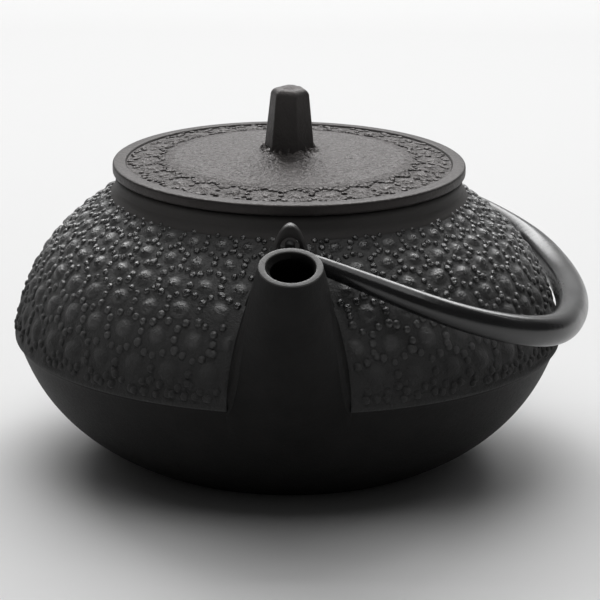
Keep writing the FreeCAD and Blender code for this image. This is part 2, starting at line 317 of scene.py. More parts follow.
root_loop = window_loop(first_row, last_row)
bore_loop = window_loop(bore_bottom_row, bore_top_row)
quads = grid_quads(len(profile), columns).reshape(-1, columns, 4)
quads[first_row:last_row, around_columns:] = -1
quads[bore_top_row:bore_bottom_row, around_columns:] = -1
quads = quads.reshape(-1, 4)
quads = quads[quads[:, 0] >= 0]

# The spout rises from the root loop to its lip, tangent to the wall at the root
lip_centre = np.array((0, -92.0, 80.6)) * mm
lip_tilt = math.radians(21.0)
lip_radius = 8.75 * mm
lip_back = np.array((0, math.cos(lip_tilt), math.sin(lip_tilt)))
lip_up = np.array((0, -math.sin(lip_tilt), math.cos(lip_tilt)))
flat_points = casting_points.reshape(-1, 3)
root = flat_points[root_loop]
root_angle = angles.reshape(-1)[root_loop]
reach = np.where(root[:, 2] < root_middle, root_below, root_above)
turn = np.arctan2(root[:, 0] / root_half_width, (root_middle - root[:, 2]) / reach)
sine = np.sin(turn)[:, None]
cosine = np.cos(turn)[:, None]
climb = unit(np.gradient(profile, axis=0))[root_loop // columns]
sideways = around(1.0, root_angle + math.pi / 2, 0.0)
upwards = around(climb[:, 0], root_angle, climb[:, 1])
inwards = unit(-sine * sideways + cosine * upwards)
off_wall = np.cross(sideways, upwards)
# Above the ridge the skin leaves the wall at a slant, most of all at the spout's flanks
flank_below_ridge = 15.0 * mm
flank_blend = 28.0 * mm
flank_at_sides = 0.7
flank_at_ends = 0.25
above_ridge = smooth_step(root[:, 2:], ridge_height - flank_below_ridge, flank_blend)
flank = above_ridge * (flank_at_sides * sine**2 + flank_at_ends * cosine**2)
leaving = unit((1 - flank) * inwards + flank * off_wall)
outwards = sine * np.array((1.0, 0, 0)) - cosine * lip_back


def lip_ring(radius, depth):
    """A ring of the spout's mouth, at a depth below the lip's plane."""
    return lip_centre - depth * lip_up + radius * outwards


lip_edge = 0.3 * mm
mouth_inner = 6.95 * mm
throat_radius = 5.9 * mm
throat_depth = 1.6 * mm
throat_drift = np.array((0.35, 0, 0)) * mm
spout_rows = 44
bore_steps = 14
pull_plain = 0.3
pull_less_above = 0.04
pull_more_in_front = 0.35
spread_at_sides = 0.27
spread_at_ends = 0.05
lip_start = lip_ring(lip_radius, lip_edge)
span = np.linalg.norm(lip_start - root, axis=1)[:, None]
front = np.clip(cosine, 0, 1) ** 2
root_pull = span * (pull_plain - pull_less_above * above_ridge + pull_more_in_front * front)
lip_spread = spread_at_sides * sine**2 + spread_at_ends * cosine**2
lip_way = lip_up - lip_spread * outwards
v = np.linspace(0, 1, spout_rows + 1)[1:, None, None]
# A cubic from the root to the lip that starts along one direction and ends along the other
spout_skin = (
    (2 * v**3 - 3 * v**2 + 1) * root
    + (v**3 - 2 * v**2 + v) * root_pull * leaving
    + (3 * v**2 - 2 * v**3) * lip_start
    + (v**3 - v**2) * span * lip_way
)
lip_section = rounded_line(
    [(lip_radius, lip_edge), (lip_radius, 0), (mouth_inner, 0), (throat_radius, throat_depth)],
    [lip_edge * 0.95, lip_edge],
)[1:]
lip_rings = np.stack([lip_ring(radius, depth) for radius, depth in lip_section])
lip_rings[-1] += throat_drift
lip_flat_rows = len(lip_section) - 1
bore_way = np.linspace(0, 1, bore_steps)[1:-1, None, None]
bore_rings = (1 - bore_way) * lip_rings[-1] + bore_way * flat_points[bore_loop]
spout_points = np.concatenate([spout_skin, lip_rings, bore_rings])
loop_size = len(root_loop)
spout_start = len(flat_points)
numbers = spout_start + np.arange(spout_points.shape[0] * loop_size).reshape(-1, loop_size)
numbers = np.concatenate([root_loop[None], numbers, bore_loop[None]])
ahead = np.roll(numbers, -1, axis=1)
spout_quads = np.stack([numbers[:-1], numbers[1:], ahead[1:], ahead[:-1]], axis=-1).reshape(-1, 4)
base_tip = spout_start + spout_points.shape[0] * loop_size
casting_all = np.concatenate(
    [flat_points, spout_points.reshape(-1, 3), [(0, 0, 0), (0, 0, floor_height)]]
)
base_ring = np.arange(columns)
floor_ring = (len(profile) - 1) * columns + base_ring
pot_casting = closed_piece(
    "pot_casting",
    casting_all,
    [quads, spout_quads, fan(base_ring[::-1], base_tip), fan(floor_ring, base_tip + 1)],
)
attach(pot_casting, "pot")
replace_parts(pot_casting, "pot_base", "pot_bowl", "pot_shoulder", "pot_neck", "spout")


def blank_material(name):
    """A new node material with Object coordinates in it."""
    material = bpy.data.materials.new(name)
    material.use_nodes = True
    material.node_tree.nodes.new("ShaderNodeTexCoord").name = "place"
    return material


def node_parts(material):
    """A material's tree, its shader and its Object coordinates."""
    tree = material.node_tree
    return tree, tree.nodes["Principled BSDF"], tree.nodes["place"].outputs["Object"]


def fill(node, inputs):
    """Links each named input of a node to a socket, or sets it to a value."""
    for name, source in inputs.items():
        if isinstance(source, bpy.types.NodeSocket):
            node.id_data.links.new(source, node.inputs[name])
        else:
            node.inputs[name].default_value = source
    return node


def add_node(tree, kind, inputs):
    """A new shader node with its inputs filled."""
    return fill(tree.nodes.new("ShaderNode" + kind), inputs)


def noise(tree, place, size, detail=4.0):
    """A noise whose spots are about one size across."""
    inputs = {"Vector": place, "Scale": 1 / size, "Detail": detail, "Roughness": 0.6}
    return add_node(tree, "TexNoise", inputs).outputs["Fac"]


def ramp(tree, factor, low, high, start=0.3, end=0.7):
    """A colour that goes from low to high between two values of a factor."""
    node = add_node(tree, "ValToRGB", {"Fac": factor})
    for element, place, colour in zip(node.color_ramp.elements, (start, end), (low, high)):
        element.position = place
        element.color = (*colour, 1)
    return node.outputs["Color"]


def ranged(tree, factor, low, high, start=0.3, end=0.7):
    """A number that goes from low to high between two values of a factor."""
    inputs = {"Value": factor, "From Min": start, "From Max": end, "To Min": low, "To Max": high}
    return add_node(tree, "MapRange", inputs).outputs["Result"]


def bump(tree, height, depth, **before):
    """A relief of a real depth, on top of an earlier one if that is given as Normal."""
    inputs = {"Height": height, "Distance": depth, "Strength": 1.0, **before}
    return add_node(tree, "Bump", inputs).outputs["Normal"]


def axis_of(tree, place, axis):
    """One of the three coordinates of a place."""
    return add_node(tree, "SeparateXYZ", {"Vector": place}).outputs[axis]


def joined(tree, operation, first, second):
    """Two numbers joined by a math operation."""
    node = add_node(tree, "Math", {0: first, 1: second})
    node.operation = operation
    return node.outputs["Value"]


def faded(tree, kind, factor, value, target):
    """A number or colour that turns into a fixed one as a factor goes from 0 to 1."""
    node = tree.nodes.new("ShaderNodeMix")
    node.data_type = kind
    return fill(node, {"Factor": factor, "A": value, "B": target}).outputs["Result"]


patch_size = 9 * mm


def iron_material(name, dark, light, roughness, grain_size, grain_depth, gloss):
    """Matt black cast iron: sand-mould grain in two sizes of relief, patchy colour and gloss."""
    material = blank_material(name)
    tree, shader, place = node_parts(material)
    patches = noise(tree, place, patch_size)
    grain = noise(tree, place, grain_size, detail=2.0)
    pits = noise(tree, place, 3 * grain_size, detail=3.0)
    relief = bump(tree, grain, grain_depth)
    inputs = {
        "Base Color": ramp(tree, patches, dark, light),
        "Roughness": ranged(tree, grain, *roughness),
        "Specular IOR Level": gloss,
        "Normal": bump(tree, pits, 1.5 * grain_depth, Normal=relief),
    }
    fill(shader, inputs)
    return material


def two_materials(piece, plain, other, other_faces):
    """Gives a piece two materials, the second on a slice of its faces."""
    piece.data.materials.append(plain)
    piece.data.materials.append(other)
    index = np.zeros(len(piece.data.polygons), np.int32)
    index[other_faces] = 1
    piece.data.polygons.foreach_set("material_index", index)


bare_iron = iron_material(
    "bare_iron",
    dark=(0.011, 0.0107, 0.0106), light=(0.0155, 0.0151, 0.0148), roughness=(0.5, 0.62),
    grain_size=0.5 * mm, grain_depth=0.06 * mm, gloss=0.12,
)
# Painted light: the neck is given a paler colour than the rest, standing in for the light that the collar
# catches
neck_painted_light_colour = (0.078, 0.0745, 0.0727, 1)
painted_light_heights = (72 * mm, 78 * mm)
painted_light_depths = (-62 * mm, -56 * mm)
tree, shader, place = node_parts(bare_iron)
above_shoulder = ranged(tree, axis_of(tree, place, "Z"), 0, 1, *painted_light_heights)
behind_spout = ranged(tree, axis_of(tree, place, "Y"), 0, 1, *painted_light_depths)
painted_light_on_neck = joined(tree, "MULTIPLY", above_shoulder, behind_spout)
iron_colour = shader.inputs["Base Color"].links[0].from_socket
fill(shader, {"Base Color": faded(tree, "RGBA", painted_light_on_neck, iron_colour, neck_painted_light_colour)})
ground_lip = iron_material(
    "ground_lip",
    dark=(0.04, 0.039, 0.038), light=(0.06, 0.058, 0.056), roughness=(0.28, 0.4),
    grain_size=0.4 * mm, grain_depth=0.03 * mm, gloss=0.34,
)
lip_face = len(quads) + spout_rows * loop_size
two_materials(pot_casting, bare_iron, ground_lip, slice(lip_face, lip_face + lip_flat_rows * loop_size))


# Studded panel. The raised hailstone field cast on the shoulder: rows of rounded bosses, each ringed
# by small beads, inside a plain narrow border along the ridge and beside the spout.
panel_lap = 0.15 * mm
panel_border = 1.3 * mm
panel_ground = -0.2 * mm
panel_depth = -1.0 * mm
panel_top_margin = 1.0 * mm
border_end_height = 61.0 * mm
border_end_blend = 5.0 * mm
stud_random = np.random.default_rng(11)

fine_samples = 4000
fine_line = bezier(shoulder_poles, fine_samples)
fine_out = profile_normals(fine_line)
fine_line = fine_line[fine_line[:, 1] <= panel_top_height]
fine_out = fine_out[:len(fine_line)]
steps_along = np.linalg.norm(np.diff(fine_line, axis=0), axis=1)
step_radii = 0.5 * (fine_line[1:, 0] + fine_line[:-1, 0])
fine_arc = np.concatenate([[0], np.cumsum(steps_along)])
# The even measure up the shoulder: arc length over radius, so that the studs stay round as they shrink
fine_even = np.concatenate([[0], np.cumsum(steps_along / step_radii)])
fine_table = np.column_stack([fine_line, fine_out, fine_arc])


def shoulder_at(even):
    """The shoulder's half section, outward normal and arc length at an even measure."""
    values = np.stack([np.interp(even, fine_even, column) for column in fine_table.T], axis=1)
    return values[:, :2], values[:, 2:4], values[:, 4]


def panel_edge(even):
    """The half angle that the panel leaves free for the spout: its edge runs just under the flank."""
    line = shoulder_at(even)[0]
    return (root_width(line[:, 1]) - panel_lap) / line[:, 0]


def past_border(height):
    """0 low on the shoulder, where the panel has a border beside the spout, and 1 above its end."""
    return smooth_step(height, border_end_height, border_end_blend)


def lattice(rows, count, first, phase, squash=1.0):
    """Angle and even measure on a triangular lattice: every second row is half a spacing on."""
    spacing = 2 * math.pi / count
    row = np.arange(rows)[:, None]
    angle = (np.arange(count) + phase + 0.5 * (row % 2)) * spacing
    even = first + row * squash * spacing * math.sqrt(3) / 2
    return np.stack(np.broadcast_arrays(angle, even), axis=-1).reshape(-1, 2)


def shaken(places, shake, spacing):
    """Places moved at random by up to a share of a spacing, with their angles within one turn."""
    places = places + stud_random.uniform(-shake, shake, places.shape) * spacing
    places[:, 0] %= 2 * math.pi
    return places


def bead_chains(cells, spacing, squash, beads_on_sides):
    """Beads along the sides of the six-sided cells round the bosses: three sides for each cell."""
    third = 1 / math.sqrt(3)
    corners = np.array([(0.5, -third / 2), (0.5, third / 2), (0.0, third), (-0.5, third / 2)])
    sides = []
    for start, end, count in zip(corners, corners[1:], beads_on_sides):
        way = np.arange(count)[:, None] / count
        sides.append((1 - way) * start + way * end)
    offsets = np.concatenate(sides) * spacing * np.array((1, squash))
    return (cells[:, None] + offsets).reshape(-1, 2)


boss_count = 42
boss_rows = 7
boss_spacing = 2 * math.pi / boss_count
row_squash = 0.9
row_spacing = row_squash * boss_spacing * math.sqrt(3) / 2
first_boss_row = 0.12
boss_phase = 0.1
boss_shake = 0.06
boss_height = 0.95 * mm
boss_power = 0.9
boss_sizes = (0.24, 0.29)
boss_stretches = (0.9, 1.1)


def raise_bosses(field, angle, even, centres, radii, tops, reach):
    """Raises domes, top (1 - d²/radius²) to the boss power, on a height field; the higher one wins."""
    step = even[2] - even[1]
    row = np.rint((centres[:, 1] - even[1]) / step).astype(int) + 1
    safe_row = np.clip(row, 0, len(even) - 1)
    start = angle[safe_row, 0]
    width = angle[safe_row, -1] - start
    column = np.rint((centres[:, 0] - start) / width * (angle.shape[1] - 1)).astype(int)
    offset = np.arange(-reach, reach + 1)
    rows = row[:, None, None] + offset[:, None]
    cols = column[:, None, None] + offset
    rows, cols = np.broadcast_arrays(rows, cols)
    inside = (rows >= 0) & (rows < angle.shape[0]) & (cols >= 0) & (cols < angle.shape[1])
    rows = np.where(inside, rows, 0)
    cols = np.where(inside, cols, 0)
    lean = stud_random.uniform(0, math.pi, len(centres))[:, None, None]
    stretch = stud_random.uniform(*boss_stretches, len(centres))[:, None, None]
    across = angle[rows, cols] - centres[:, 0, None, None]
    along = even[rows] - centres[:, 1, None, None]
    first = (across * np.cos(lean) + along * np.sin(lean)) * stretch
    second = (along * np.cos(lean) - across * np.sin(lean)) / stretch
    share = (first**2 + second**2) / radii[:, None, None] ** 2
    value = np.where(inside, tops[:, None, None] * np.clip(1 - share, 0, None) ** boss_power, 0)
    np.maximum.at(field, (rows, cols), value)


# The outermost rows and columns lie close to their neighbours and drop steeply into the shoulder
panel_rows = 112
panel_columns = 744
steep_row = 0.0003
steep_column = 0.00005
even_rows = np.concatenate([[0], np.linspace(steep_row, fine_even[-1], panel_rows - 1)])
row_line, row_out, row_arc = shoulder_at(even_rows)
row_edge = panel_edge(even_rows)[:, None]
panel_way = np.concatenate([[0], np.linspace(steep_column, 1 - steep_column, panel_columns - 2), [1]])
panel_angle = round_back(row_edge, panel_way)

centres = shaken(
    lattice(boss_rows, boss_count, first_boss_row, boss_phase, row_squash), boss_shake, boss_spacing
)
top_boss_share = 0.55
top_boss_fade = 0.6 * row_spacing
boss_tops_spread = (0.85, 1.1)
boss_reach = 8
below_top = smooth_step(fine_even[-1] - centres[:, 1], 0, top_boss_fade)
boss_radii = boss_spacing * stud_random.uniform(*boss_sizes, len(centres))
boss_tops = boss_height * (top_boss_share + (1 - top_boss_share) * below_top)
boss_tops *= stud_random.uniform(*boss_tops_spread, len(centres))
relief = np.zeros(panel_angle.shape)
raise_bosses(relief, panel_angle, even_rows, centres, boss_radii, boss_tops, boss_reach)

# The border stays plain: studs fade out towards it, and its outer edge is rounded over
border_height = 0.06 * mm
border_blend = 0.5 * mm
border_release = 5.0 * mm
edge_round = 0.25 * mm
tucked = -0.06 * mm
from_ridge = row_arc[:, None] + 0 * panel_angle
from_spout = row_line[:, :1] * to_edge(row_edge, panel_angle)
from_edge = np.minimum(from_ridge, from_spout + border_release * past_border(row_line[:, 1:]))
inner = smooth_step(from_edge, panel_border, border_blend)
level = border_height + (panel_ground + relief - border_height) * inner
fall = np.clip(edge_round - from_ridge, 0, edge_round)
level -= edge_round - np.sqrt(edge_round**2 - fall**2)
to_top = (row_arc[-1] - row_arc)[:, None]
level = tucked + (level - tucked) * smooth_step(to_top, 0, panel_top_margin)
level[[0, -1]] = panel_depth
level[:, [0, -1]] = panel_depth

back_rows = 9
back_depth = panel_depth - 0.25 * mm
back_even = np.linspace(fine_even[-1], 0, back_rows)
back_line, back_out, _ = shoulder_at(back_even)
back_angle = round_back(panel_edge(back_even)[:, None], panel_way)
panel_front = off_line(row_line, row_out, panel_angle, level)
panel_back = off_line(back_line, back_out, back_angle, back_depth)
all_rows = panel_rows + back_rows
panel_quads = grid_quads(all_rows, panel_columns, wrap_columns=False, wrap_rows=True)
end_cap = (np.arange(all_rows) * panel_columns)[None, :]
other_cap = end_cap[:, ::-1] + panel_columns - 1
hailstone_panel = closed_piece(
    "hailstone_panel",
    np.concatenate([panel_front, panel_back]),
    [panel_quads, end_cap, other_cap],
    sharp_angle=80,
)
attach(hailstone_panel, "pot")


def set_rise(piece, values):
    """Stores at each vertex how far it is up its stud: 0 in the ground, 1 at the top."""
    layer = piece.data.attributes.new("rise", "FLOAT", "POINT")
    layer.data.foreach_set("value", np.ascontiguousarray(values, np.float32).ravel())


worn_rises = (0.1, 0.75)
dull_heights = (44 * mm, 64 * mm)
dull_roughness = 1.0


def worn_iron(name, roughness, grain_size, sway, glint, **iron):
    """Cast iron rubbed smooth on its tops, most of all high up: rise and height set its roughness."""
    material = iron_material(name, roughness=roughness, grain_size=grain_size, **iron)
    tree, shader, place = node_parts(material)
    rise = add_node(tree, "Attribute", {})
    rise.attribute_name = "rise"
    worn = ranged(tree, rise.outputs["Fac"], *roughness, *worn_rises)
    speck = ranged(tree, noise(tree, place, 0.8 * grain_size, detail=1.0), -sway, sway)
    low = ranged(tree, axis_of(tree, place, "Z"), 1, 0, *dull_heights)
    uneven = joined(tree, "ADD", worn, speck)
    fill(shader, {"Roughness": faded(tree, "FLOAT", low, uneven, dull_roughness), "IOR": glint})
    return material


boss_polish = 0.85
front_rise = boss_polish * relief * inner / boss_height
set_rise(hailstone_panel, np.concatenate([front_rise.ravel(), np.zeros(back_angle.size)]))
stud_iron = worn_iron(
    "stud_iron",
    dark=(0.006, 0.0058, 0.0057), light=(0.009, 0.0087, 0.0085), roughness=(0.74, 0.2),
    grain_size=0.6 * mm, grain_depth=0.3 * mm, gloss=1.0, sway=0.05, glint=1.63,
)
hailstone_panel.data.materials.append(stud_iron)

bead_sides = 8
bead_sink = 0.15 * mm
bead_ring_share = np.array((1.0, 0.97, 0.8, 0.46))
bead_ring_rise = np.array((0.0, 0.22, 0.64, 0.92))


def bead_domes(name, line, out, angle, radii, heights):
    """Small closed domes set off a half section: rings of a flattened half ball, and a flat underside."""
    place = around(line[:, 0], angle, line[:, 1])
    normal = around(out[:, 0], angle, out[:, 1])
    across = around(1.0, angle + math.pi / 2, 0.0)
    along = np.cross(normal, across)
    spin = np.arange(bead_sides) * 2 * math.pi / bead_sides
    reach = radii[:, None, None] * bead_ring_share[:, None]
    level = heights[:, None] * bead_ring_rise
    level[:, 0] = -bead_sink
    rings = (
        place[:, None, None]
        + (reach * np.cos(spin))[..., None] * across[:, None, None]
        + (reach * np.sin(spin))[..., None] * along[:, None, None]
        + level[:, :, None, None] * normal[:, None, None]
    )
    tips = place + heights[:, None] * normal
    count = len(place)
    per = len(bead_ring_share) * bead_sides
    starts = np.arange(count)[:, None] * per
    quads = (grid_quads(len(bead_ring_share), bead_sides) + starts[:, :, None]).reshape(-1, 4)
    top = starts + per - bead_sides + np.arange(bead_sides)
    tip = np.broadcast_to(count * per + np.arange(count)[:, None], top.shape)
    caps = np.stack([top, np.roll(top, -1, axis=1), tip], axis=-1).reshape(-1, 3)
    under = starts + np.arange(bead_sides)[::-1]
    points = np.concatenate([rings.reshape(-1, 3), tips])
    piece = closed_piece(name, points, [quads, caps, under], sharp_angle=80)
    ring_values = np.tile(np.repeat(bead_ring_rise, bead_sides), count)
    set_rise(piece, np.concatenate([ring_values, np.ones(count)]))
    return piece


bead_height = 0.85 * mm
bead_shake = 0.055
bead_sizes = (0.1, 0.135)
bead_tops_spread = (0.65, 1.2)
low_bead_share = 0.86
bead_growth_start = 46.0 * mm
bead_growth_reach = 18.0 * mm
ridge_bead_row = 0.034
ridge_bead_shake = 0.07
ridge_bead_count = 4 * boss_count
cells = lattice(boss_rows + 1, boss_count, first_boss_row - row_spacing, boss_phase + 0.5, row_squash)
beads = shaken(bead_chains(cells, boss_spacing, row_squash, (2, 2, 2)), bead_shake, boss_spacing)
ridge_beads = lattice(1, ridge_bead_count, ridge_bead_row, 0)
beads = np.concatenate([beads, shaken(ridge_beads, ridge_bead_shake, boss_spacing)])
bead_line, bead_out, bead_arc = shoulder_at(beads[:, 1])
bead_growth = smooth_step(bead_line[:, 1], bead_growth_start, bead_growth_reach)
bead_share = low_bead_share + (1 - low_bead_share) * bead_growth
bead_radii = bead_share * boss_spacing * bead_line[:, 0] * stud_random.uniform(*bead_sizes, len(beads))
bead_border = panel_border * (1 - past_border(bead_line[:, 1]))
free_edge = panel_edge(beads[:, 1]) + (bead_border + bead_radii) / bead_line[:, 0]
kept = to_edge(free_edge, beads[:, 0]) > 0
kept &= (bead_arc > panel_border + bead_radii) & (bead_arc < fine_arc[-1] - panel_top_margin)
beads, bead_line, bead_out, bead_radii = beads[kept], bead_line[kept], bead_out[kept], bead_radii[kept]
bead_tops = bead_height * bead_line[:, 0] / waist_radius
bead_tops *= stud_random.uniform(*bead_tops_spread, len(beads))
hailstone_beads = bead_domes(
    "hailstone_beads", bead_line + panel_ground * bead_out, bead_out, beads[:, 0], bead_radii, bead_tops
)
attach(hailstone_beads, "pot")
hailstone_beads.data.materials.append(stud_iron)


# Handle lugs. Two rounded ears cast on the shoulder at front and back, each with a round hole for
# the handle's hook.
lug_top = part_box("lug_rear")[1].z
lug_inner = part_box("lug_rear")[0].y
lug_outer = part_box("lug_rear")[1].y
lug_hole_radius = 2.7 * mm
lug_hole_height = 78.2 * mm
lug_bottom = 67.5 * mm
lug_half_width = 6.6 * mm
lug_rise = 12.6 * mm
lug_round = 1.0 * mm
lug_hole_round = 0.4 * mm
lug_columns = 96
tiny = 1e-9


def lug_outline(turn):
    """How far the ear's edge is from the hole's middle: a parabola above, a flat foot below."""
    sine = np.sin(turn)
    cosine = np.cos(turn)
    above = lug_top - lug_hole_height
    bend = lug_rise / lug_half_width**2
    # Solves hole + d·cosine = top - bend (d·sine)² for the distance d
    square = bend * sine**2
    root_part = np.sqrt(cosine**2 + 4 * square * above)
    parabola = 2 * above / np.maximum(cosine + root_part, tiny)
    foot = (lug_hole_height - lug_bottom) / np.maximum(-cosine, tiny)
    return np.where(cosine < 0, np.minimum(parabola, foot), parabola)


def lug_ear(name, side):
    """Rings round the hole, through a section: rounded rim, one face, hole wall, other face."""
    turn = np.linspace(0, 2 * math.pi, lug_columns, endpoint=False)
    rim = lug_outline(turn)
    middle = (lug_inner + lug_outer) / 2
    half = (lug_outer - lug_inner) / 2
    half_face = 0.5 * (rim + lug_hole_radius)
    rim_bends = np.linspace(-0.5, 0.5, 9) * math.pi
    hole_bends = np.linspace(0.5, 1.5, 5) * math.pi
    section = [(rim + lug_round * (math.cos(bend) - 1), half * math.sin(bend)) for bend in rim_bends]
    section.append((half_face, half))
    for way, bends in ((1, hole_bends[:3]), (-1, hole_bends[2:])):
        for bend in bends:
            edge_depth = way * (half - lug_hole_round) + lug_hole_round * math.sin(bend)
            section.append((lug_hole_radius + lug_hole_round * (1 + math.cos(bend)), edge_depth))
    section.append((half_face, -half))
    distance = np.stack([part[0] + 0 * rim for part in section])
    depth = np.array([part[1] for part in section])[:, None]
    points = np.stack(
        [
            distance * np.sin(turn),
            side * (middle + depth) + 0 * distance,
            lug_hole_height + distance * np.cos(turn),
        ],
        axis=-1,
    )
    quads = grid_quads(len(section), lug_columns, wrap_rows=True)
    return closed_piece(name, points, [quads], sharp_angle=60)


lug_iron = iron_material(
    "lug_iron",
    dark=(0.034, 0.032, 0.0313), light=(0.046, 0.0433, 0.0424), roughness=(0.32, 0.44),
    grain_size=0.8 * mm, grain_depth=0.1 * mm, gloss=0.5,
)
for lug_name, lug_node, side in (("front_ear", "lug_front", -1), ("rear_ear", "lug_rear", 1)):
    ear = lug_ear(lug_name, side)
    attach(ear, "pot")
    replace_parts(ear, lug_node)
    ear.data.materials.append(lug_iron)


# Lid. A domed iron casting with a plain turned lip, a ring of low studs, a fine-grained middle and a
# rough mound where the knob stands; underneath, a land that sits on the neck and a locating ring.
lid_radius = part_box("lid_plate")[1].x
lid_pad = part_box("lid_plate")[1].z
lid_ring_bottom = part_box("lid_plate")[0].z
lid_rim = 86.8 * mm
lid_rim_thickness = 3.0 * mm
lid_lip = 4.1 * mm
lid_lip_rise = 0.35 * mm
lid_seat = 83.5 * mm
lid_under = lid_pad - 3.0 * mm
lid_ring_outer = 45.4 * mm
lid_ring_inner = 43.4 * mm
lid_land = 48.3 * mm
lid_hole = 2.1 * mm
knob_pad = 9.0 * mm
stud_ring_outer = lid_radius - lid_lip
stud_ring_inner = 35.5 * mm
ring_start = stud_ring_inner - 1.5 * mm
lid_columns = 640
pad_steps = 13
middle_steps = 25
ring_rows = 44
dome_samples = 400

top_poles = [
    (knob_pad, lid_pad),
    (knob_pad + 14.0 * mm, lid_pad - 0.1 * mm),
    (stud_ring_outer - 12.0 * mm, lid_rim + 1.1 * mm),
    (stud_ring_outer, lid_rim),
]
dome_radii, dome_heights = bezier(top_poles, dome_samples).T
pad_radii = np.linspace(lid_hole, knob_pad, pad_steps, endpoint=False)
middle_radii = np.linspace(knob_pad, ring_start, middle_steps, endpoint=False)
ring_even = np.linspace(0, math.log(stud_ring_outer / ring_start), ring_rows)
top_radii = np.concatenate([pad_radii, middle_radii, ring_start * np.exp(ring_even)])
top_heights = np.interp(top_radii, dome_radii, dome_heights)
lid_angle = np.linspace(0, 2 * math.pi, lid_columns, endpoint=False)

lid_boss_count = 28
lid_boss_circle = 41.3 * mm
lid_boss_height = 0.7 * mm
lid_boss_tops_spread = (0.8, 1.1)
lid_boss_reach = 9
lid_phase = 0.2
lid_spacing = 2 * math.pi / lid_boss_count
lid_first = math.log(lid_boss_circle / ring_start)
lid_centres = shaken(lattice(1, lid_boss_count, lid_first, lid_phase), boss_shake, lid_spacing)
lid_relief = np.zeros((ring_rows, lid_columns))
raise_bosses(
    lid_relief,
    np.broadcast_to(lid_angle, lid_relief.shape),
    ring_even,
    lid_centres,
    lid_spacing * stud_random.uniform(*boss_sizes, lid_boss_count),
    lid_boss_height * stud_random.uniform(*lid_boss_tops_spread, lid_boss_count),
    lid_boss_reach,
)
plain_rows = pad_steps + middle_steps
top_level = np.concatenate([np.zeros((plain_rows, lid_columns)), lid_relief])
groove = 0.25 * mm
groove_blend = 1.2 * mm
top_level -= groove * smooth_step(top_radii, stud_ring_inner, groove_blend)[:, None]

# The mound is lumpy: a sum of waves round it, each with its own slant
mound_foot = 10.0 * mm
mound_crest = 6.4 * mm
mound_height = 1.9 * mm
mound_level = 0.75
mound_swing = 2.2
lump_slant = 2.5
lump_shares = (0.3, 1.0)
mound = mound_height * (1 - smooth_step(top_radii, mound_crest, mound_foot - mound_crest))
lump_random = np.random.default_rng(5)
lump_turns = np.arange(3, 27)[:, None, None]
lump_phase = lump_random.uniform(0, 2 * math.pi, lump_turns.shape)
lump_wave = lump_random.uniform(-lump_slant, lump_slant, lump_turns.shape) / mm
lump_share = lump_random.uniform(*lump_shares, lump_turns.shape) / len(lump_turns)
lumps = np.cos(lump_turns * lid_angle + lump_wave * top_radii[:, None] + lump_phase)
top_level += mound[:, None] * (mound_level + mound_swing * (lump_share * lumps).sum(axis=0))
top_points = around(top_radii[:, None], lid_angle, top_heights[:, None] + top_level)

rim_bottom = lid_rim - lid_rim_thickness
under_flat = 6.0 * mm
under_start = (lid_ring_inner, lid_seat + 0.4 * mm)
under_steps = 18
under_line = bezier(
    [
        under_start,
        (lid_ring_inner - 14.0 * mm, lid_under - 1.2 * mm),
        (under_flat + 15.0 * mm, lid_under),
        (under_flat, lid_under),
    ],
    under_steps,
)
under_rows = rounded_line(
    [
        (stud_ring_outer, lid_rim - groove),
        (stud_ring_outer + 0.4 * mm, lid_rim + lid_lip_rise),
        (lid_radius, lid_rim + 0.3 * lid_lip_rise),
        (lid_radius, rim_bottom),
        (lid_land, rim_bottom),
        (lid_land, lid_seat),
        (lid_ring_outer, lid_seat),
        (lid_ring_outer, lid_ring_bottom),
        (lid_ring_inner, lid_ring_bottom),
        under_start,
    ],
    [0.35 * mm, 0.8 * mm, 0.9 * mm, 0.2 * mm, 0.2 * mm, 0.3 * mm, 0.4 * mm, 0.4 * mm],
)[1:-1]
under_rows = np.concatenate([under_rows, under_line, [(lid_hole, lid_under)]])
under_points = around(under_rows[:, :1], lid_angle, under_rows[:, 1:])
lid_points = np.concatenate([top_points, under_points])
lid_quads = grid_quads(len(lid_points), lid_columns, wrap_rows=True)
lid_casting = closed_piece("lid_casting", lid_points, [lid_quads], sharp_angle=60)
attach(lid_casting, "lid")
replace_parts(lid_casting, "lid_plate")
plain_rise = 0.6
lid_rise = np.full(lid_points.shape[:2], plain_rise)
lid_rise[plain_rows:len(top_points)] = lid_relief / lid_boss_height
set_rise(lid_casting, lid_rise)
lid_dark = (0.026, 0.0244, 0.0237)
lid_light = (0.036, 0.0338, 0.033)
lid_iron = worn_iron(
    "lid_iron",
    dark=lid_dark, light=lid_light, roughness=(0.56, 0.38),
    grain_size=1.1 * mm, grain_depth=0.75 * mm, gloss=0.5, sway=0.14, glint=1.5,
)
lip_iron = iron_material(
    "lip_iron",
    dark=lid_dark, light=lid_light, roughness=(0.42, 0.54),
    grain_size=0.8 * mm, grain_depth=0.12 * mm, gloss=0.34,
)
# The lid has aged to a faintly warm sheen
warm_sheen = (1.0, 0.9, 0.88, 1)


def warm_up(material):
    """Gives the reflections of an iron the warm sheen."""
    fill(node_parts(material)[1], {"Specular Tint": warm_sheen})


warm_up(lid_iron)
warm_up(lip_iron)
two_materials(lid_casting, lid_iron, lip_iron, slice((len(top_points) - 1) * lid_columns, None))

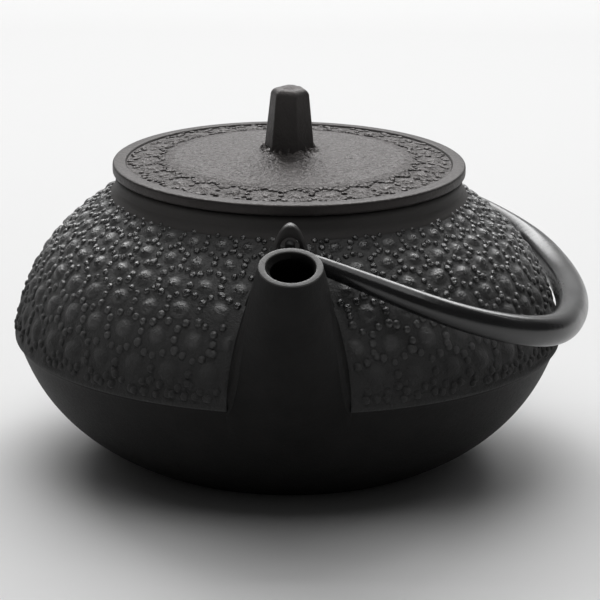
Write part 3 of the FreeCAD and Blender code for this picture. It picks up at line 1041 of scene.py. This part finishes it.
lid_bead_height = 0.45 * mm
lid_bead_shake = 0.035
lid_bead_sizes = (0.08, 0.125)
lid_bead_tops_spread = (0.8, 1.15)
lid_bead_innermost = stud_ring_inner - 1.2 * mm
lid_bead_outermost = stud_ring_outer - 1.0 * mm
lid_row = lid_spacing * math.sqrt(3) / 2
lid_cells = lattice(2, lid_boss_count, lid_first - lid_row, lid_phase + 0.5)
lid_beads = shaken(bead_chains(lid_cells, lid_spacing, 1.0, (2, 3, 3)), lid_bead_shake, lid_spacing)
lid_bead_at = ring_start * np.exp(lid_beads[:, 1])
lid_bead_radii = lid_spacing * lid_bead_at * stud_random.uniform(*lid_bead_sizes, len(lid_beads))
kept = (lid_bead_at > lid_bead_innermost) & (lid_bead_at < lid_bead_outermost)
lid_beads, lid_bead_at, lid_bead_radii = lid_beads[kept], lid_bead_at[kept], lid_bead_radii[kept]
lid_bead_base = np.interp(lid_bead_at, dome_radii, dome_heights) - groove
tilt = np.arctan(np.interp(lid_bead_at, dome_radii, np.gradient(dome_heights, dome_radii)))
lid_stud_beads = bead_domes(
    "lid_stud_beads",
    np.column_stack([lid_bead_at, lid_bead_base]),
    np.column_stack([-np.sin(tilt), np.cos(tilt)]),
    lid_beads[:, 0],
    lid_bead_radii,
    lid_bead_height * stud_random.uniform(*lid_bead_tops_spread, len(lid_beads)),
)
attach(lid_stud_beads, "lid")
lid_stud_beads.data.materials.append(lid_iron)


# Knob. A six-sided tapered iron post with softened edges and a slightly domed top, held from below
# by a slotted steel screw with a washer.
knob_foot = lid_pad
knob_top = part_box("lid_knob")[1].z
knob_foot_flat = 6.6 * mm
knob_top_flat = 5.05 * mm
knob_turn = math.radians(16.7)
knob_crown = 2.3 * mm
knob_dome = 0.8 * mm
knob_corner_power = 44
knob_sunk = 0.3 * mm
knob_columns = 144
shaft_rows = 14
crown_rows = 9
cap_rows = 5


def six_sided(turn):
    """Distance to the rim of a six-sided figure of unit half width, corners rounded by a power mean."""
    sides = knob_turn + math.pi / 6 + np.arange(6) * math.pi / 3
    facing = np.clip(np.cos(turn[:, None] - sides), 0, None)
    return (facing**knob_corner_power).sum(axis=1) ** (-1 / knob_corner_power)


knob_angle = np.linspace(0, 2 * math.pi, knob_columns, endpoint=False)
shaft_top = knob_top - knob_dome - knob_crown
shaft_heights = np.linspace(knob_foot - knob_sunk, shaft_top, shaft_rows)
shaft_flats = np.linspace(knob_foot_flat, knob_top_flat, shaft_rows)
crown_turn = np.linspace(0, math.pi / 2, crown_rows + 1)[1:]
crown_flats = knob_top_flat - knob_crown * (1 - np.cos(crown_turn))
crown_heights = shaft_top + knob_crown * np.sin(crown_turn)
cap_way = np.linspace(1, 0, cap_rows + 1)[1:-1]
cap_flats = crown_flats[-1] * cap_way
cap_heights = crown_heights[-1] + knob_dome * (1 - cap_way**2)
knob_flats = np.concatenate([shaft_flats, crown_flats, cap_flats])
knob_heights = np.concatenate([shaft_heights, crown_heights, cap_heights])
knob_points = around(knob_flats[:, None] * six_sided(knob_angle), knob_angle, knob_heights[:, None])
knob_count = len(knob_flats) * knob_columns
knob_all = np.concatenate([knob_points.reshape(-1, 3), [(0, 0, knob_heights[0]), (0, 0, knob_top)]])
knob_ring = np.arange(knob_columns)
knob_post = closed_piece(
    "knob_post",
    knob_all,
    [
        grid_quads(len(knob_flats), knob_columns),
        fan(knob_ring[::-1], knob_count),
        fan(knob_count - knob_columns + knob_ring, knob_count + 1),
    ],
    sharp_angle=60,
)
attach(knob_post, "lid")
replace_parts(knob_post, "lid_knob")
# Painted light: the knob's iron is paler than the lid's, so that its shaded faces read lighter
knob_painted_light_iron = iron_material(
    "knob_painted_light_iron",
    dark=(0.062, 0.0585, 0.057), light=(0.08, 0.0755, 0.0736), roughness=(0.42, 0.56),
    grain_size=0.7 * mm, grain_depth=0.14 * mm, gloss=0.36,
)
warm_up(knob_painted_light_iron)
knob_post.data.materials.append(knob_painted_light_iron)


streak_size = 2.5 * mm
brush_size = 0.3 * mm
brush_depth = 0.01 * mm


def steel_material(name, dark, light, roughness):
    """Plain steel: a metal with faint streaks in its colour and gloss."""
    material = blank_material(name)
    tree, shader, place = node_parts(material)
    streaks = noise(tree, place, streak_size)
    brushed = noise(tree, place, brush_size, detail=2.0)
    inputs = {
        "Metallic": 1.0,
        "Base Color": ramp(tree, streaks, dark, light),
        "Roughness": ranged(tree, brushed, *roughness),
        "Normal": bump(tree, brushed, brush_depth),
    }
    fill(shader, inputs)
    return material


def dress_nodes(material, *nodes):
    """Gives kept CAD nodes one material."""
    for node in nodes:
        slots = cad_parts[node].data.materials
        slots.clear()
        slots.append(material)


fastener_steel = steel_material(
    "fastener_steel", dark=(0.36, 0.36, 0.35), light=(0.48, 0.48, 0.47), roughness=(0.3, 0.45)
)
dress_nodes(fastener_steel, "knob_screw", "knob_washer")


# Bail handle. A tapered steel tube bent to a bow and coated in satin black, with a solid wire hook
# pressed into each end and hung in a lug.
coat_dark = (0.010, 0.010, 0.0105)
coat_light = (0.016, 0.016, 0.0165)
rubbed_size = 14 * mm
peel_size = 1.2 * mm
peel_depth = 0.006 * mm


def black_coat_material(name, roughness, gloss):
    """Satin black coating: an even dark colour, faint orange peel and rubbed patches in the gloss."""
    material = blank_material(name)
    tree, shader, place = node_parts(material)
    peel = noise(tree, place, peel_size, detail=2.0)
    rubbed = noise(tree, place, rubbed_size)
    inputs = {
        "Base Color": ramp(tree, rubbed, coat_dark, coat_light),
        "Roughness": ranged(tree, rubbed, *roughness),
        "Specular IOR Level": gloss,
        "Normal": bump(tree, peel, peel_depth),
    }
    fill(shader, inputs)
    return material


dress_nodes(black_coat_material("black_coat", roughness=(0.2, 0.28), gloss=0.7), "handle_tube")
# The hooks turn in their lugs, so their coat is rubbed dull
dull_coat = black_coat_material("dull_coat", roughness=(0.45, 0.6), gloss=0.15)
dress_nodes(dull_coat, "handle_hook_front", "handle_hook_rear")


# Infuser. A lift-out strainer of stainless steel: a pressed rim that hangs on the ledge of the mouth,
# a woven wire wall and floor, and a band crimped round their joint.
infuser_steel = steel_material(
    "infuser_steel", dark=(0.5, 0.5, 0.49), light=(0.62, 0.62, 0.6), roughness=(0.22, 0.36)
)
dress_nodes(infuser_steel, "infuser_rim", "infuser_band")
mesh_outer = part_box("infuser_wall")[1].x
mesh_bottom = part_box("infuser_wall")[0].z
mesh_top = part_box("infuser_wall")[1].z
mesh_floor_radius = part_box("infuser_floor")[1].x
mesh_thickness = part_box("infuser_floor")[1].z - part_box("infuser_floor")[0].z
wire_radius = mesh_thickness / 4
upright_count = 150
hoop_count = 34
infuser_wire = steel_material(
    "infuser_wire", dark=(0.42, 0.42, 0.41), light=(0.6, 0.6, 0.58), roughness=(0.25, 0.4)
)


def wire_set(name, paths, first, second, closed):
    """Four-sided wires: a diamond ring carried along each path, across two given directions."""
    turn = np.arange(4)[:, None] * math.pi / 2
    rings = paths[:, :, None] + wire_radius * (
        np.cos(turn) * first[:, :, None] + np.sin(turn) * second[:, :, None]
    )
    wires, steps = paths.shape[:2]
    starts = (np.arange(wires) * steps * 4)[:, None]
    sides = grid_quads(steps, 4, wrap_rows=closed) + starts[:, :, None]
    groups = [sides.reshape(-1, 4)]
    if not closed:
        groups += [starts + np.arange(4)[::-1], starts + (steps - 1) * 4 + np.arange(4)]
    piece = closed_piece(name, rings, groups, sharp_angle=60)
    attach(piece, "infuser")
    piece.data.materials.append(infuser_wire)
    return piece


# The wall: uprights and hoops that pass over and under each other in turn
mesh_radius = mesh_outer - mesh_thickness / 2
hoop_pitch = (mesh_top - mesh_bottom - 2 * wire_radius) / hoop_count
upright_angle = np.arange(upright_count)[:, None] * 2 * math.pi / upright_count
upright_height = mesh_bottom + wire_radius + np.arange(2 * hoop_count + 1)[None, :] * hoop_pitch / 2
weave = np.cos(math.pi * (np.arange(upright_count)[:, None] + np.arange(2 * hoop_count + 1) / 2))
upright_paths = around(mesh_radius + wire_radius * weave, upright_angle, upright_height)
flat_angle = np.broadcast_to(upright_angle, weave.shape)
wall_uprights = wire_set(
    "wall_uprights",
    upright_paths,
    around(1.0, flat_angle, 0.0),
    around(1.0, flat_angle + math.pi / 2, 0.0),
    closed=False,
)
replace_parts(wall_uprights, "infuser_wall")
hoop_angle = np.arange(2 * upright_count)[None, :] * math.pi / upright_count
hoop_number = np.arange(hoop_count)[:, None]
weave = -np.cos(math.pi * (np.arange(2 * upright_count) / 2 + hoop_number))
hoop_paths = around(
    mesh_radius + wire_radius * weave, hoop_angle, mesh_bottom + wire_radius + hoop_number * hoop_pitch
)
flat_angle = np.broadcast_to(hoop_angle, weave.shape)
hoop_out = around(1.0, flat_angle, 0.0)
wire_set("wall_hoops", hoop_paths, hoop_out, around(0.0, flat_angle, 1.0), closed=True)

# The floor: two sets of straight wires, woven the same way and cut off at the round edge
floor_wire_count = 47
edge_pitches = 0.2
floor_pitch = 2 * mesh_floor_radius / (floor_wire_count + edge_pitches)
floor_number = np.arange(floor_wire_count)[:, None]
offset = (floor_number - (floor_wire_count - 1) / 2) * floor_pitch
half_length = np.sqrt(mesh_floor_radius**2 - offset**2)
along = half_length * np.linspace(-1, 1, 2 * floor_wire_count)
weave = wire_radius * np.cos(math.pi * (along / floor_pitch + floor_number))
offset = np.broadcast_to(offset, along.shape)
mesh_floor_middle = mesh_bottom + mesh_thickness / 2
aside, ahead, above = (np.broadcast_to(axis, (*along.shape, 3)) for axis in np.eye(3))
floor_paths = np.stack([along, offset, mesh_floor_middle + weave], axis=-1)
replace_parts(wire_set("floor_wires", floor_paths, ahead, above, False), "infuser_floor")
cross_paths = np.stack([offset, along, mesh_floor_middle - weave], axis=-1)
wire_set("floor_cross_wires", cross_paths, aside, above, closed=False)


# Stage. A pale seamless sweep, a wide light behind and above the pot, a soft one overhead, one for the
# backdrop, and a camera in front, a little above the lid.
paper_near = 0.78
paper_far = 0.52
paper_depths = (-0.1, 0.6)
paper = blank_material("paper")
tree, shader, place = node_parts(paper)
depth = ranged(tree, axis_of(tree, place, "Y"), 0, 1, *paper_depths)
# The paper's grey goes evenly from one value to another along the floor's depth
paper_grey = ramp(tree, depth, (paper_near,) * 3, (paper_far,) * 3, 0, 1)
fill(shader, {"Base Color": paper_grey, "Roughness": 0.9, "Specular IOR Level": 0.2})

floor_front = -2.5
floor_sides = np.array((-3.0, 3.0))
sweep_radius = 0.6
sweep_start = 1.6
sweep_steps = 24
backdrop_top = 3.0
sweep_turn = np.linspace(0, math.pi / 2, sweep_steps)
sweep_end = sweep_start + sweep_radius
sweep_y = np.concatenate([[floor_front], sweep_start + sweep_radius * np.sin(sweep_turn), [sweep_end]])
sweep_z = np.concatenate([[0.0], sweep_radius * (1 - np.cos(sweep_turn)), [backdrop_top]])
sweep_points = np.stack(
    np.broadcast_arrays(floor_sides, sweep_y[:, None], sweep_z[:, None]), axis=-1
).reshape(-1, 3)
sweep_mesh = bpy.data.meshes.new("paper_sweep")
sweep_faces = grid_quads(len(sweep_y), 2, wrap_columns=False)
sweep_mesh.from_pydata(sweep_points.tolist(), [], sweep_faces.tolist())
sweep_mesh.shade_smooth()
paper_sweep = add_object("paper_sweep", sweep_mesh)
paper_sweep.data.materials.append(paper)


def soft_light(name, place, target, width, depth, power):
    """An oblong area light that faces a target."""
    lamp = bpy.data.lights.new(name, "AREA")
    lamp.shape = "RECTANGLE"
    lamp.size = width
    lamp.size_y = depth
    lamp.energy = power
    light = add_object(name, lamp)
    light.location = place
    away = np.array(place) - np.array(target)
    light.rotation_euler = (
        math.atan2(math.hypot(away[0], away[1]), away[2]),
        0,
        math.atan2(away[1], away[0]) + math.pi / 2,
    )


pot_middle = (0, 0, 0.05)
backdrop_middle = (0, 2.2, 0.6)
soft_light("main_light", (0, 1.25, 1.15), pot_middle, width=1.9, depth=0.75, power=27.5)
soft_light("tent_top", (0, 0.1, 1.5), pot_middle, width=1.2, depth=2.0, power=11)
soft_light("backdrop_light", (0, 1.0, 1.7), backdrop_middle, width=4.0, depth=0.8, power=36.5)

fill_strength = 0.05
world = bpy.data.worlds.new("studio")
world.use_nodes = True
fill(world.node_tree.nodes["Background"], {"Color": (1, 1, 1, 1), "Strength": fill_strength})
bpy.context.scene.world = world
bpy.context.scene.view_settings.view_transform = "Standard"

camera_place = (-0.0077, -1.000, 0.33363)
camera_yaw = 0.0113
camera_pitch = 0.281
camera_roll = 0.0115
focal_pixels = 3540.8
picture_pixels = 600
sensor = 36.0
camera_data = bpy.data.cameras.new("camera")
camera_data.sensor_width = sensor
camera_data.lens = focal_pixels / picture_pixels * sensor
camera = add_object("camera", camera_data)
# Rolled about its own axis, raised from looking straight down to its pitch, then turned by its yaw
camera.matrix_world = (
    Matrix.Translation(camera_place)
    @ Matrix.Rotation(-camera_yaw, 4, "Z")
    @ Matrix.Rotation(math.pi / 2 - camera_pitch, 4, "X")
    @ Matrix.Rotation(camera_roll, 4, "Z")
)
bpy.context.scene.camera = camera
